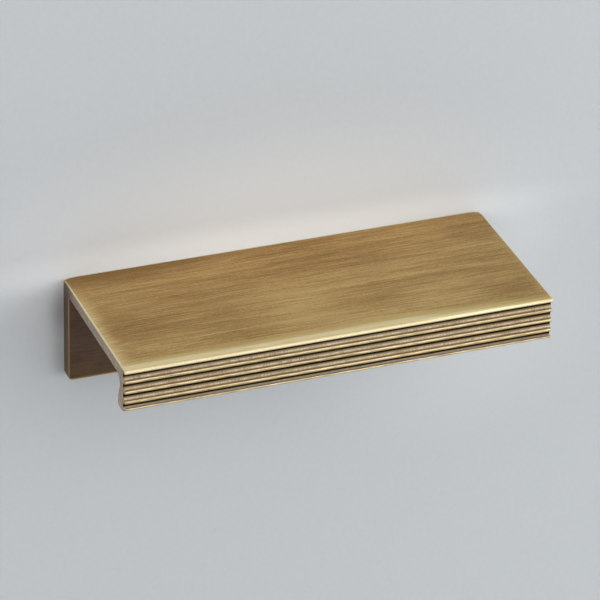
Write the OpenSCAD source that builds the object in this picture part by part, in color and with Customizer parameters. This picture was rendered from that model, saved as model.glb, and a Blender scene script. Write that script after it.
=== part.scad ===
// Tab pull for the edge of a drawer or door, in one solid piece.
// An upright back plate is screwed on from the front. A flat top plate reaches forward from its
// upper edge and turns down into a lip: grooved along its front, hollowed and beaded behind for
// the fingers.
//
// X runs along the pull. The back face lies in the plane y = 0, and the pull reaches towards -Y.
// The origin is midway between the two screw holes, on the back face. All sizes are millimetres.

/* [Plates] */
// Length of the pull, along the edge that it is fixed to
pull_length = 100; // [80:1:200]
// Depth of the pull, from the back face to the front of the ridges
pull_depth = 43; // [30:0.5:60]
// Height of the back plate, from the top face down
plate_height = 24.6; // [23:0.1:36]
// Thickness of the back plate
plate_thick = 3.6; // [2.8:0.1:6]
// Thickness of the top plate
top_thick = 3.1; // [2:0.1:3.6]
// Softening radius of the outer edges
edge_radius = 0.4; // [0.2:0.05:0.6]

/* [Lip] */
// Height of the lip, from the top face down to its lowest point
lip_height = 11; // [10.6:0.1:14]
// Thickness of the lip at its neck, front ridges included
neck_thick = 3.55; // [3.3:0.05:4]
// Thickness of the lip at its finger bead, front ridges included
bead_thick = 4.75; // [4.3:0.05:5]
// Radius of the hollow behind the neck, under the top plate
hollow_radius = 2; // [1.2:0.1:2.4]
// Slope of the lip's inner face between neck and bead, in degrees off the upright
inner_slope = 22; // [19:1:30]
// Radius of the bead's inner face
bead_radius = 3.3; // [2.4:0.1:4]
// Radius of the bead's lower inner corner
corner_radius = 0.95; // [0.6:0.05:1.2]
// Distance from the bead's inner face forward to the lip's lowest point
foot_inset = 1.85; // [1.5:0.05:2.2]

/* [Front] */
// Radius of the top front edge
brow_radius = 0.8; // [0.5:0.05:1]
// Drop from the top face to the first groove
groove_start = 1.15; // [1.1:0.05:1.6]
// Height of a groove
groove_height = 1.55; // [1.2:0.05:2]
// Height of the ridge between two grooves
ridge_height = 0.95; // [0.6:0.05:1.4]
// Depth of the grooves
groove_depth = 0.85; // [0.5:0.05:1.2]
// Radius of the toe, the last small ridge at the lip's foot
toe_radius = 0.3; // [0.2:0.05:0.4]
// Height of the toe's centre above the lip's lowest point
toe_rise = 1.1; // [0.9:0.05:1.3]

/* [Screw holes] */
// Distance between the two screw holes
hole_spacing = 64; // [32:1:84]
// Drop from the top face to the screw holes
hole_drop = 17.5; // [16.5:0.5:19]
// Diameter of a screw hole
hole_diameter = 4.5; // [3.5:0.1:5]
// Diameter of a countersink, at the plate's front face
sink_diameter = 8.6; // [7:0.1:9.4]

/* [Hidden] */

$fn = 64;
// How far a cut runs past the face that it opens
cut_overrun = 1;
// A countersink of 90 degrees is as deep as it is wider than its hole, to each side
sink_depth = (sink_diameter - hole_diameter) / 2;

// A place in the section is given as [reach, drop]: how far it lies in front of the back face,
// and how far below the top face. A section's own axes point the other way.
function at(place) = [-place[0], -place[1]];
function along(place, length, angle) = place + length * [cos(angle), sin(angle)];
function heading(from, to) = atan2(to[1] - from[1], to[0] - from[0]);

neck_reach = pull_depth - neck_thick;
bead_reach = pull_depth - bead_thick;
floor_reach = pull_depth - groove_depth;

// The hollow is round, and leaves the neck along the inner slope
hollow_centre = [neck_reach - hollow_radius, top_thick + hollow_radius];
hollow_end = along(hollow_centre, hollow_radius, inner_slope);

// The bead's inner face starts where the slope touches it, and ends upright
bead_start_reach = bead_reach + bead_radius * (1 - cos(inner_slope));
bead_start = [bead_start_reach, hollow_end[1] + (hollow_end[0] - bead_start_reach) / tan(inner_slope)];
bead_centre = along(bead_start, bead_radius, inner_slope);

// The foot's arc touches the toe in front and the bead's corner behind, from the inside
toe_centre = [pull_depth - toe_radius, lip_height - toe_rise];
foot_reach = bead_reach + foot_inset;
toe_span = toe_centre[0] - foot_reach;
foot_radius = (toe_span ^ 2 + toe_rise ^ 2 - toe_radius ^ 2) / (2 * (toe_rise - toe_radius));
foot_centre = [foot_reach, lip_height - foot_radius];
corner_span = foot_inset - corner_radius;
corner_drop = foot_centre[1] + sqrt((foot_radius - corner_radius) ^ 2 - corner_span ^ 2);
corner_centre = [bead_reach + corner_radius, corner_drop];
foot_start_angle = heading(foot_centre, toe_centre);
foot_end_angle = heading(foot_centre, corner_centre);

// Grooves repeat down to the toe, and the last one takes what height is left
groove_pitch = groove_height + ridge_height;
toe_ledge = toe_centre[1] - toe_radius;
least_groove_share = 0.2;
groove_count = ceil((toe_ledge - groove_start) / groove_pitch - least_groove_share);
// The top front edge is rounded again below, down to the first groove
brow_foot_radius = groove_start - brow_radius;

// How far a sector's corners lie beyond its arc
sector_share = 1.5;

// A rectangle with round corners, from the origin
module soft_rectangle(width, height, radius) {
    translate([radius, 0])
        square([width - 2 * radius, height]);
    translate([0, radius])
        square([width, height - 2 * radius]);
    for (x = [radius, width - radius])
        for (y = [radius, height - radius])
            translate([x, y])
                circle(r = radius);
}

// An outline of [y, z] drawn out along X, the length of the pull
module drawn_out() {
    rotate([90, 0, 90])
        linear_extrude(height = pull_length, center = true)
            children();
}

// A slab as long as the pull, softened along all its edges, from one reach to another and from
// the top face down
module soft_slab(near_reach, far_reach, drop) {
    depth = far_reach - near_reach;
    intersection() {
        drawn_out()
            translate([-far_reach, -drop])
                soft_rectangle(depth, drop, edge_radius);
        translate([-pull_length / 2, -near_reach, -drop])
            rotate([90, 0, 0])
                linear_extrude(height = depth)
                    soft_rectangle(pull_length, drop, edge_radius);
        translate([-pull_length / 2, -far_reach, -drop])
            linear_extrude(height = drop)
                soft_rectangle(pull_length, depth, edge_radius);
    }
}

// A sector of a disc between two headings, in the section
module sector(centre, radius, from_angle, to_angle) {
    far = radius * sector_share;
    intersection() {
        translate(at(centre))
            circle(r = radius);
        polygon([
            at(centre),
            at(along(centre, far, from_angle)),
            at(along(centre, far, to_angle)),
        ]);
    }
}

// A bar of the section, from the lip's inner side forward to a given reach
module bar(reach, from_drop, to_drop) {
    translate([-reach, -to_drop])
        square([reach - hollow_centre[0], to_drop - from_drop]);
}

// A disc of the section
module disc(centre, radius) {
    translate(at(centre))
        circle(r = radius);
}

// The rounded top front edge, down to the first groove
module brow_section() {
    sector([pull_depth - brow_radius, brow_radius], brow_radius, -90, 0);
    disc([pull_depth - brow_foot_radius, brow_radius], brow_foot_radius);
    bar(pull_depth - brow_radius, 0, brow_radius);
    bar(pull_depth - brow_foot_radius, brow_radius, groove_start);
}

// The round-nosed ridge above groove number i
module ridge_section(i) {
    radius = ridge_height / 2;
    centre = [pull_depth - radius, groove_start + i * groove_pitch - radius];
    disc(centre, radius);
    translate([-centre[0], -centre[1] - radius])
        square([centre[0] - neck_reach, ridge_height]);
}

// The toe and the ledge over it
module toe_section() {
    disc(toe_centre, toe_radius);
    translate(at(toe_centre))
        square([toe_centre[0] - foot_reach, toe_radius]);
}

// The underside of the lip, from its toe back to the bead's corner
module foot_section() {
    far = foot_radius * sector_share;
    intersection() {
        disc(foot_centre, foot_radius);
        polygon([
            at(toe_centre),
            at(along(foot_centre, far, foot_start_angle)),
            at(along(foot_centre, far, foot_end_angle)),
            at(corner_centre),
        ]);
    }
}

// The lip behind its ridges: hollow, slope, bead and foot
module core_section() {
    difference() {
        union() {
            polygon([
                at([min(floor_reach, pull_depth - brow_radius), 0]),
                at([hollow_centre[0], 0]),
                at([hollow_centre[0], top_thick]),
                at(hollow_centre),
                at(hollow_end),
                at(bead_start),
                at([bead_reach, bead_centre[1]]),
                at([bead_reach, corner_centre[1]]),
                at(corner_centre),
                at(along(foot_centre, foot_radius, foot_end_angle)),
                at(along(foot_centre, foot_radius, foot_start_angle)),
                at(toe_centre),
                at([floor_reach, toe_centre[1]]),
                at([floor_reach, brow_radius]),
            ]);
            sector(bead_centre, bead_radius, 180, 180 + inner_slope);
            disc(corner_centre, corner_radius);
            foot_section();
        }
        disc(hollow_centre, hollow_radius);
    }
}

module lip_section() {
    core_section();
    brow_section();
    for (i = [1:groove_count - 1])
        ridge_section(i);
    toe_section();
}

module lip() {
    intersection() {
        drawn_out()
            lip_section();
        soft_slab(hollow_centre[0], pull_depth, lip_height);
    }
}

// A countersunk hole through the back plate, with its axis along Y
module screw_hole() {
    rotate([90, 0, 0]) {
        translate([0, 0, -cut_overrun])
            cylinder(h = plate_thick + 2 * cut_overrun, d = hole_diameter);
        translate([0, 0, plate_thick - sink_depth])
            cylinder(
                h = sink_depth + cut_overrun,
                d1 = hole_diameter,
                d2 = sink_diameter + 2 * cut_overrun
            );
    }
}

module pull() {
    color("#b3945f")
        difference() {
            translate([0, 0, hole_drop]) {
                soft_slab(0, plate_thick, plate_height);
                soft_slab(0, neck_reach, top_thick);
                lip();
            }
            for (side = [-1, 1])
                translate([side * hole_spacing / 2, 0, 0])
                    screw_hole();
        }
}

pull();
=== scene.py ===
"""Looks of a tab pull in aged, brushed brass, fixed to a plain wall.

The pull is one piece. Its section follows the construction's own sizes and is swept along the
length in Geometry Nodes, with every end arris softened and the two screw holes cut through.
"""

from __future__ import annotations

import logging
import math
from dataclasses import dataclass, field
from enum import Enum

import bpy
import numpy as np
from mathutils import Matrix, Vector


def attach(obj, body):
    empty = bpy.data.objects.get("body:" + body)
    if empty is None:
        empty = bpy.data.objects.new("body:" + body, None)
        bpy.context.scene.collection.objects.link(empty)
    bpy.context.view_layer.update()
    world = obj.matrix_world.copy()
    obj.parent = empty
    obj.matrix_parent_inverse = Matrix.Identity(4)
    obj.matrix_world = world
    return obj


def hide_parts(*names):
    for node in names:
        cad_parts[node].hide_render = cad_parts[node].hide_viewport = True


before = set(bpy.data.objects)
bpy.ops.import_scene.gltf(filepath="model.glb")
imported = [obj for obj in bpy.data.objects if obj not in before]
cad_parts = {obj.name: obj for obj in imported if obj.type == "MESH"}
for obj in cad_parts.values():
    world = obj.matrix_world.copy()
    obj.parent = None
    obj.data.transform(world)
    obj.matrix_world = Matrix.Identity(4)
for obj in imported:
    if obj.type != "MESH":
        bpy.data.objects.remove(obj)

log = logging.getLogger("tab_pull")

MM = 0.001
Triple = tuple[float, float, float]
Colour = Triple
Pair = tuple[float, float]
Socket = bpy.types.NodeSocket


class Zone(Enum):
    """Parts of the section's outline that are finished, or painted with light and shade, in their
    own way.
    """

    FACE = "zone_face"
    # Painted highlight on the worn brow
    BROW = "zone_brow"
    # Black lines of patina and painted shadow, in the grooves and under the brow and noses
    LINE = "zone_line"
    # Painted shade on the groove floors below the black lines
    SHADE = "zone_shade"
    FLOOR = "zone_floor"
    SILL = "zone_sill"
    # Painted shade on the tops of the ridge noses
    LEDGE = "zone_ledge"
    CREST = "zone_crest"
    FINGER = "zone_finger"
    ARRIS = "zone_arris"
    BACK = "zone_back"


class Direction(Enum):
    """Direction in which a lamp stands from the pull, as azimuth and elevation in degrees."""

    RIGHT = (54.0, 9.0)
    LEFT = (-58.0, 24.0)
    ABOVE = (8.0, 32.0)
    SKY = (159.0, 46.0)
    FRONT = (21.0, 6.0)
    BEHIND = (-140.0, 40.0)


def heading(start: Pair, end: Pair) -> float:
    """Angle of the way between two points of the section.

    Args:
        start: First point, as reach and drop.
        end: Second point.

    Returns:
        The angle in degrees.
    """
    return math.degrees(math.atan2(end[1] - start[1], end[0] - start[0]))


def along(place: Pair, length: float, angle: float) -> Pair:
    """Point at a distance and an angle from another one.

    Args:
        place: The point to start from, as reach and drop.
        length: Distance.
        angle: Angle in degrees.

    Returns:
        The new point.
    """
    turn = math.radians(angle)
    return place[0] + length * math.cos(turn), place[1] + length * math.sin(turn)


def towards(azimuth: float, elevation: float) -> Vector:
    """Unit vector from the pull in a direction.

    Args:
        azimuth: Degrees to the right of straight ahead.
        elevation: Degrees above the level.

    Returns:
        The vector.
    """
    turn, tilt = math.radians(azimuth), math.radians(elevation)
    level = math.cos(tilt)
    return Vector((math.sin(turn) * level, -math.cos(turn) * level, math.sin(tilt)))


def placed(name: str, data: bpy.types.ID) -> bpy.types.Object:
    """Makes an object and puts it in the scene.

    Args:
        name: The object's name.
        data: Its mesh, light or camera.

    Returns:
        The object.
    """
    thing = bpy.data.objects.new(name, data)
    bpy.context.scene.collection.objects.link(thing)
    return thing


@dataclass(frozen=True)
class PullSizes:
    """Sizes of the pull, in millimetres and degrees: the construction's, then the finer ones."""

    length: float = 100.0
    depth: float = 43.0
    plate_height: float = 24.6
    plate_thick: float = 3.6
    top_thick: float = 3.1
    edge_radius: float = 0.4
    lip_height: float = 11.0
    neck_thick: float = 3.55
    bead_thick: float = 4.75
    hollow_radius: float = 2.0
    inner_slope: float = 22.0
    bead_radius: float = 3.3
    corner_radius: float = 0.95
    foot_inset: float = 1.85
    brow_radius: float = 0.8
    groove_start: float = 1.15
    groove_height: float = 1.55
    ridge_height: float = 0.95
    groove_depth: float = 0.85
    toe_radius: float = 0.3
    toe_rise: float = 1.1
    hole_spacing: float = 64.0
    hole_drop: float = 17.5
    hole_diameter: float = 4.5
    sink_diameter: float = 8.6
    groove_count: int = 4
    groove_fillet: float = 0.16
    inner_fillet: float = 0.35
    shaded_heights: Pair = (0.86, 1.16)
    last_shaded_heights: Pair = (0.765, 0.785)
    brow_start: float = -18.0
    brow_end: float = 30.0
    crest_start: float = -40.0
    crest_end: float = 32.0
    toe_shade_end: float = 150.0
    ridge_softness: float = 0.22
    outer_softness: float = 0.4
    back_corner_reach: float = 3.2
    back_corner_fall: float = 0.3
    back_corner_width: float = 1.8
    foot_corner_reach: float = 1.0
    foot_corner_fall: float = 0.6
    foot_corner_width: float = 2.0


@dataclass(frozen=True)
class OutlinePoint:
    """A point of the section's outline, with its outward normal and its finish."""

    place: Pair
    normal: Pair
    zone: Zone
    softness: float


@dataclass
class Outline:
    """The closed outline of a section, walked round with the metal on the right."""

    # Radius of the end arris of what is added next
    softness: float
    widest_step: float = 1.6
    supports: tuple[float, ...] = (0.05, 0.13, 0.28)
    finest_turn: float = 10.0
    fewest_turns: int = 4
    # Largest share of a straight that the points close to one of its ends may take up
    support_share: float = 0.4
    points: list[OutlinePoint] = field(default_factory=list)

    def turn(self, centre: Pair, radius: float, start: float, end: float, zone: Zone) -> None:
        """Adds an arc: round the metal where the angle grows, and round a hollow otherwise.

        Args:
            centre: Centre of the arc, as reach and drop.
            radius: Its radius.
            start: Angle at which it starts, in degrees.
            end: Angle at which it ends.
            zone: Finish of its surface.
        """
        steps = max(self.fewest_turns, math.ceil(abs(end - start) / self.finest_turn))
        side = 1.0 if end > start else -1.0
        for i in range(steps + 1):
            angle = start + (end - start) * i / steps
            ray = along((0.0, 0.0), 1.0, angle)
            self.add(along(centre, radius, angle), (side * ray[0], side * ray[1]), zone)

    def add(self, place: Pair, normal: Pair, zone: Zone) -> None:
        """Adds a point with its outward normal and its finish."""
        self.points.append(OutlinePoint(place, normal, zone, self.softness))

    def straight(self, end: Pair, zone: Zone) -> None:
        """Adds what lies between the last point and a given one, which a later arc adds.

        Args:
            end: Where the straight ends, as reach and drop.
            zone: Finish of its surface.
        """
        last = self.points[-1]
        length = math.dist(last.place, end)
        angle = heading(last.place, end)
        near = [d for d in self.supports if d < self.support_share * length]
        if not near:
            return
        inner = length - 2 * near[-1]
        spans = max(1, math.ceil(inner / self.widest_step))
        ways = near + [near[-1] + inner * i / spans for i in range(1, spans)]
        ways += [length - d for d in reversed(near)]
        for way in ways:
            self.add(along(last.place, way, angle), last.normal, zone)


@dataclass
class PullSection:
    """The pull's section, as an outline of arcs and straights between them."""

    sizes: PullSizes

    def outline(self) -> list[OutlinePoint]:
        """Walks the whole outline, from the top face's back round to it again.

        Returns:
            The outline's points, of which the last lies on the first.
        """
        s = self.sizes
        line = Outline(s.outer_softness)
        line.turn((s.edge_radius, s.edge_radius), s.edge_radius, 180, 270, Zone.ARRIS)
        line.straight((s.depth - s.brow_radius, 0.0), Zone.FACE)
        self._front(line)
        self._finger_side(line)
        self._back_plate(line)
        return [*line.points, line.points[0]]

    def _front(self, line: Outline) -> None:
        """Adds the brow, the grooves with their ridges, and what lies below them.

        Args:
            line: The outline that is added to.
        """
        s = self.sizes
        line.softness = s.ridge_softness
        brow_foot = s.groove_start - s.brow_radius
        brow = (s.depth - s.brow_radius, s.brow_radius)
        line.turn(brow, s.brow_radius, -90, s.brow_start, Zone.FACE)
        # The lower brow and the top of its foot take the painted highlight
        line.turn(brow, s.brow_radius, s.brow_start, 0, Zone.BROW)
        foot_centre = (s.depth - brow_foot, s.brow_radius)
        line.turn(foot_centre, brow_foot, 0, s.brow_end, Zone.BROW)
        # Under the brow, a black line of patina and painted shadow
        line.turn(foot_centre, brow_foot, s.brow_end, 90, Zone.LINE)
        for i in range(s.groove_count - 1):
            top = s.groove_start + i * (s.groove_height + s.ridge_height)
            bottom = top + s.groove_height
            self._groove(line, top, bottom, s.shaded_heights)
            self._ridge(line, bottom)
        # The last groove takes what height is left over the toe
        toe = (s.depth - s.toe_radius, s.lip_height - s.toe_rise)
        ledge = toe[1] - s.toe_radius
        top = bottom + s.ridge_height
        self._groove(line, top, ledge, s.last_shaded_heights, s.toe_shade_end)
        line.straight((toe[0], ledge), Zone.SILL)
        self._foot(line, toe)

    def _groove(
        self, line: Outline, top: float, bottom: float, heights: Pair, shade_end: float = 180
    ) -> None:
        """Adds a groove's upper side and its floor, with the fillets above and below.

        Args:
            line: The outline that is added to.
            top: Drop of its upper side.
            bottom: Drop of its lower side.
            heights: How far below its upper side the floor's black line of patina and painted
                shadow ends, and its painted shade.
            shade_end: Angle in its lower corner at which a black line of patina and painted shadow
                there ends.
        """
        floor = self.sizes.depth - self.sizes.groove_depth
        fillet = self.sizes.groove_fillet
        # The upper side and the top of the floor take a black line of patina and painted shadow,
        # then painted shade
        line.straight((floor + fillet, top), Zone.LINE)
        line.turn((floor + fillet, top + fillet), fillet, -90, -180, Zone.LINE)
        for zone, height in zip((Zone.LINE, Zone.SHADE), heights):
            line.straight((floor, top + height), zone)
            line.add((floor, top + height), (1.0, 0.0), zone)
        line.straight((floor, bottom - fillet), Zone.FLOOR)
        corner = (floor + fillet, bottom - fillet)
        if shade_end < 180:
            line.turn(corner, fillet, 180, shade_end, Zone.LINE)
        line.turn(corner, fillet, shade_end, 90, Zone.FLOOR)

    def _ridge(self, line: Outline, top: float) -> None:
        """Adds the sill and the round nose of a ridge.

        Args:
            line: The outline that is added to.
            top: Drop of the ridge's upper side.
        """
        s = self.sizes
        radius = s.ridge_height / 2
        nose = (s.depth - radius, top + radius)
        line.straight((nose[0], top), Zone.SILL)
        # The top of the nose takes painted shade
        line.turn(nose, radius, -90, s.crest_start, Zone.LEDGE)
        line.turn(nose, radius, s.crest_start, s.crest_end, Zone.CREST)
        # The nose's underside takes the black line of patina and painted shadow
        line.turn(nose, radius, s.crest_end, 90, Zone.LINE)

    def _foot(self, line: Outline, toe: Pair) -> None:
        """Adds the toe and the lip's underside, back to the bead's corner.

        Args:
            line: The outline that is added to.
            toe: Centre of the toe.
        """
        s = self.sizes
        foot_reach = s.depth - s.bead_thick + s.foot_inset
        span = toe[0] - foot_reach
        foot_radius = (span**2 + s.toe_rise**2 - s.toe_radius**2) / (
            2 * (s.toe_rise - s.toe_radius)
        )
        foot = (foot_reach, s.lip_height - foot_radius)
        corner_span = s.foot_inset - s.corner_radius
        corner_drop = foot[1] + math.sqrt((foot_radius - s.corner_radius) ** 2 - corner_span**2)
        corner = (s.depth - s.bead_thick + s.corner_radius, corner_drop)
        foot_start = heading(foot, toe)
        foot_end = heading(foot, corner)
        line.turn(toe, s.toe_radius, -90, foot_start, Zone.CREST)
        line.turn(foot, foot_radius, foot_start, foot_end, Zone.FINGER)
        line.turn(corner, s.corner_radius, foot_end, 180, Zone.FINGER)

    def _finger_side(self, line: Outline) -> None:
        """Adds the bead, the slope and the hollow behind the lip, and the underside.

        Args:
            line: The outline that is added to.
        """
        s = self.sizes
        line.softness = s.outer_softness
        hollow = (s.depth - s.neck_thick - s.hollow_radius, s.top_thick + s.hollow_radius)
        slope_top = along(hollow, s.hollow_radius, s.inner_slope)
        slope = math.radians(s.inner_slope)
        bead_start = s.depth - s.bead_thick + s.bead_radius * (1 - math.cos(slope))
        slope_foot = (bead_start, slope_top[1] + (slope_top[0] - bead_start) / math.tan(slope))
        bead = along(slope_foot, s.bead_radius, s.inner_slope)
        line.straight((s.depth - s.bead_thick, bead[1]), Zone.FINGER)
        line.turn(bead, s.bead_radius, 180, 180 + s.inner_slope, Zone.FINGER)
        line.straight(slope_top, Zone.FINGER)
        line.turn(hollow, s.hollow_radius, s.inner_slope, -90, Zone.FINGER)
        inner = (s.plate_thick + s.inner_fillet, s.top_thick + s.inner_fillet)
        line.straight((inner[0], s.top_thick), Zone.FINGER)
        line.turn(inner, s.inner_fillet, -90, -180, Zone.FINGER)

    def _back_plate(self, line: Outline) -> None:
        """Adds the back plate's front face, foot and back face.

        Args:
            line: The outline that is added to.
        """
        s = self.sizes
        radius = s.edge_radius
        low = s.plate_height - radius
        line.straight((s.plate_thick, low), Zone.FINGER)
        line.turn((s.plate_thick - radius, low), radius, 0, 90, Zone.ARRIS)
        line.straight((radius, s.plate_height), Zone.FINGER)
        line.turn((radius, low), radius, 90, 180, Zone.ARRIS)
        line.straight((0.0, radius), Zone.BACK)


class Wiring:
    """A node tree being wired, with short calls for the nodes that are used most."""

    def __init__(self, tree: bpy.types.NodeTree) -> None:
        """Keeps the node tree to wire."""
        self.tree = tree

    def add(self, kind: str, **settings: object) -> bpy.types.Node:
        """Adds a node.

        Args:
            kind: The node's type.
            **settings: Properties to set on it.

        Returns:
            The node.
        """
        node = self.tree.nodes.new(kind)
        for name, value in settings.items():
            setattr(node, name, value)
        return node

    def feed(self, target: Socket, value: object) -> None:
        """Links a socket to an input, or sets the input's own value.

        Args:
            target: The input.
            value: A socket or a plain value, and three numbers for a colour.
        """
        if isinstance(value, Socket):
            self.tree.links.new(value, target)
        elif target.type == "RGBA":
            target.default_value = (*value, 1.0)
        else:
            target.default_value = value

    def out(self, kind: str, inputs: dict, output: int | str = 0, **settings: object) -> Socket:
        """Adds a node, feeds its inputs and gives one of its outputs.

        Args:
            kind: The node's type.
            inputs: Values or sockets by input name or number.
            output: Name or number of the output.
            **settings: Properties to set on the node.

        Returns:
            The output's socket.
        """
        node = self.add(kind, **settings)
        for key, value in inputs.items():
            self.feed(node.inputs[key], value)
        return node.outputs[output]

    def math(self, operation: str, *values: object) -> Socket:
        """Adds a Math node for an operation on one to three values, and gives its result."""
        return self.out("ShaderNodeMath", dict(enumerate(values)), operation=operation)

    def vector(self, operation: str, *values: object) -> Socket:
        """Adds a Vector Math node for an operation on some vectors, and gives its result."""
        return self.out("ShaderNodeVectorMath", dict(enumerate(values)), operation=operation)

    def xyz(self, x: object = 0.0, y: object = 0.0, z: object = 0.0) -> Socket:
        """Makes a vector of three parts."""
        return self.out("ShaderNodeCombineXYZ", {0: x, 1: y, 2: z})

    def split(self, vector: Socket) -> tuple[Socket, ...]:
        """Gives a vector's three parts."""
        return tuple(self.out("ShaderNodeSeparateXYZ", {0: vector}).node.outputs)

    def scale(self, vector: Socket, factor: object) -> Socket:
        """Multiplies a vector by a number.

        Args:
            vector: The vector.
            factor: The number, as a socket or a value.

        Returns:
            The product's socket.
        """
        product = self.vector("SCALE", vector)
        self.feed(product.node.inputs["Scale"], factor)
        return product

    def rest(self, value: object) -> Socket:
        """Subtracts a value from one."""
        return self.math("SUBTRACT", 1.0, value)


class ShaderWiring(Wiring):
    """A material's or shader group's node tree being wired."""

    def blend(self, share: object, first: object, second: object) -> Socket:
        """Mixes two colours, by the share of the second one."""
        return self.out("ShaderNodeMix", {0: share, 6: first, 7: second}, 2, data_type="RGBA")

    def level(self, share: object, first: object, second: object) -> Socket:
        """Mixes two numbers, by the share of the second one."""
        return self.out("ShaderNodeMix", {0: share, 2: first, 3: second}, data_type="FLOAT")

    def ramp(
        self, value: object, low: object, high: object, start: float = 0.0, end: float = 1.0
    ) -> Socket:
        """Maps a range of values smoothly to another range.

        Args:
            value: The value.
            low: Where the result is start.
            high: Where the result is end.
            start: Result at the low value.
            end: Result at the high value.

        Returns:
            The result's socket.
        """
        return self.out(
            "ShaderNodeMapRange",
            {0: value, 1: low, 2: high, 3: start, 4: end},
            interpolation_type="SMOOTHSTEP",
        )

    def mask(self, mask: Zone | str) -> Socket:
        """Reads one of the piece's own masks, given by its zone or its name."""
        name = mask.value if isinstance(mask, Zone) else mask
        return self.out("ShaderNodeAttribute", {}, "Fac", attribute_name=name)

    def swing(self, value: Socket, width: float) -> Socket:
        """Centres a mask on zero and makes it as wide as given."""
        return self.math("MULTIPLY", self.math("SUBTRACT", value, 0.5), width)

    def mean(self, first: Socket, second: Socket) -> Socket:
        """Gives the mean of two masks."""
        return self.math("MULTIPLY", self.math("ADD", first, second), 0.5)


@dataclass(frozen=True)
class Streaks:
    """A pattern of brushed streaks, with its length and width in millimetres."""

    length: float
    width: float
    detail: float
    contrast: float
    # How much the streaks sway the face's tone
    weight: float = 1.0


@dataclass(frozen=True)
class Mottle:
    """A pattern of soft round spots, with its size in millimetres."""

    size: float
    detail: float
    contrast: float


@dataclass(frozen=True)
class Patch:
    """A soft oval patch that is lighter or darker than the surface round it."""

    centre: Triple
    reach: Triple
    strength: float


class ShaderGroups:
    """The shader effects that several finishes share, each built once."""

    def __init__(self) -> None:
        """Builds the groups."""
        self.trees = {Streaks: self._streaks(), Mottle: self._mottle(), Patch: self._patch()}

    @staticmethod
    def _start(
        name: str, inputs: tuple[str, ...], kind: str = "NodeSocketFloat"
    ) -> tuple[ShaderWiring, bpy.types.Node]:
        """Starts a group that reads a place and some more inputs, and gives a mask.

        Args:
            name: Name of the group.
            inputs: Names of the other inputs.
            kind: Their socket type.

        Returns:
            The group's wiring and its input node.
        """
        tree = bpy.data.node_groups.new(name, "ShaderNodeTree")
        tree.interface.new_socket("Place", in_out="INPUT", socket_type="NodeSocketVector")
        for key in inputs:
            tree.interface.new_socket(key, in_out="INPUT", socket_type=kind)
        tree.interface.new_socket("Mask", in_out="OUTPUT", socket_type="NodeSocketFloat")
        wiring = ShaderWiring(tree)
        return wiring, wiring.add("NodeGroupInput")

    @staticmethod
    def _end(wiring: ShaderWiring, mask: Socket) -> bpy.types.NodeTree:
        """Ends a group with the mask that it gives, and returns the group's tree."""
        wiring.feed(wiring.add("NodeGroupOutput").inputs["Mask"], mask)
        return wiring.tree

    def _noise(self, w: ShaderWiring, given: bpy.types.Node, spans: tuple, rough: float) -> Socket:
        """Adds a noise that is drawn out by the group's own sizes.

        Args:
            w: The group's wiring.
            given: The group's input node.
            spans: Names of the inputs with the noise's size along each axis.
            rough: How strong its finer layers are.

        Returns:
            The socket of its mask, from 0 to 1.
        """
        size = w.xyz(*(given.outputs[name] for name in spans))
        place = w.vector("DIVIDE", given.outputs["Place"], size)
        noise = w.out(
            "ShaderNodeTexNoise",
            {"Vector": place, "Scale": 1.0, "Detail": given.outputs["Detail"], "Roughness": rough},
            "Fac",
        )
        centred = w.math("SUBTRACT", noise, 0.5)
        mask = w.math("MULTIPLY_ADD", centred, given.outputs["Contrast"], 0.5)
        return w.out("ShaderNodeClamp", {0: mask})

    def _streaks(self) -> bpy.types.NodeTree:
        """Builds long thin streaks along the place's first axis, as brushing leaves them."""
        w, given = self._start("brushed_streaks", ("Length", "Width", "Detail", "Contrast"))
        return self._end(w, self._noise(w, given, ("Length", "Width", "Width"), rough=0.6))

    def _mottle(self) -> bpy.types.NodeTree:
        """Builds soft round spots that are the same in every direction."""
        w, given = self._start("soft_mottle", ("Size", "Detail", "Contrast"))
        return self._end(w, self._noise(w, given, ("Size", "Size", "Size"), rough=0.5))

    def _patch(self) -> bpy.types.NodeTree:
        """Builds a soft oval patch, full in its middle and gone at its reach.

        Returns:
            The group's tree.
        """
        w, given = self._start("soft_patch", ("Centre", "Reach"), "NodeSocketVector")
        away = w.vector("SUBTRACT", given.outputs["Place"], given.outputs["Centre"])
        length = w.vector("LENGTH", w.vector("DIVIDE", away, given.outputs["Reach"]))
        return self._end(w, w.ramp(length.node.outputs["Value"], 1.0, 0.0))


class Surface(ShaderWiring):
    """A material being wired, with the place on its surface and the shared patterns."""

    def __init__(self, name: str, groups: ShaderGroups) -> None:
        """Starts the material.

        Args:
            name: The material's name.
            groups: The shared shader effects.
        """
        self.material = bpy.data.materials.new(name)
        self.material.use_nodes = True
        super().__init__(self.material.node_tree)
        self.tree.nodes.clear()
        self.groups = groups
        # The place on the piece, in millimetres
        self.place = self.scale(self.out("ShaderNodeTexCoord", {}, "Object"), 1 / MM)
        self.x, self.y, self.z = self.split(self.place)

    def lay(self, pattern: Streaks | Mottle | Patch, place: Socket | None = None) -> Socket:
        """Lays a shared pattern.

        Args:
            pattern: The pattern.
            place: Where it is read, if that isn't the place on the piece.

        Returns:
            The socket of the pattern's mask.
        """
        node = self.add("ShaderNodeGroup", node_tree=self.groups.trees[type(pattern)])
        self.feed(node.inputs["Place"], self.place if place is None else place)
        for socket in node.inputs:
            if socket.name != "Place":
                socket.default_value = getattr(pattern, socket.name.lower())
        return node.outputs["Mask"]

    def close(self, shader: Socket) -> bpy.types.Material:
        """Ends the material with its shader, and returns it."""
        self.feed(self.add("ShaderNodeOutputMaterial").inputs["Surface"], shader)
        return self.material


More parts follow.
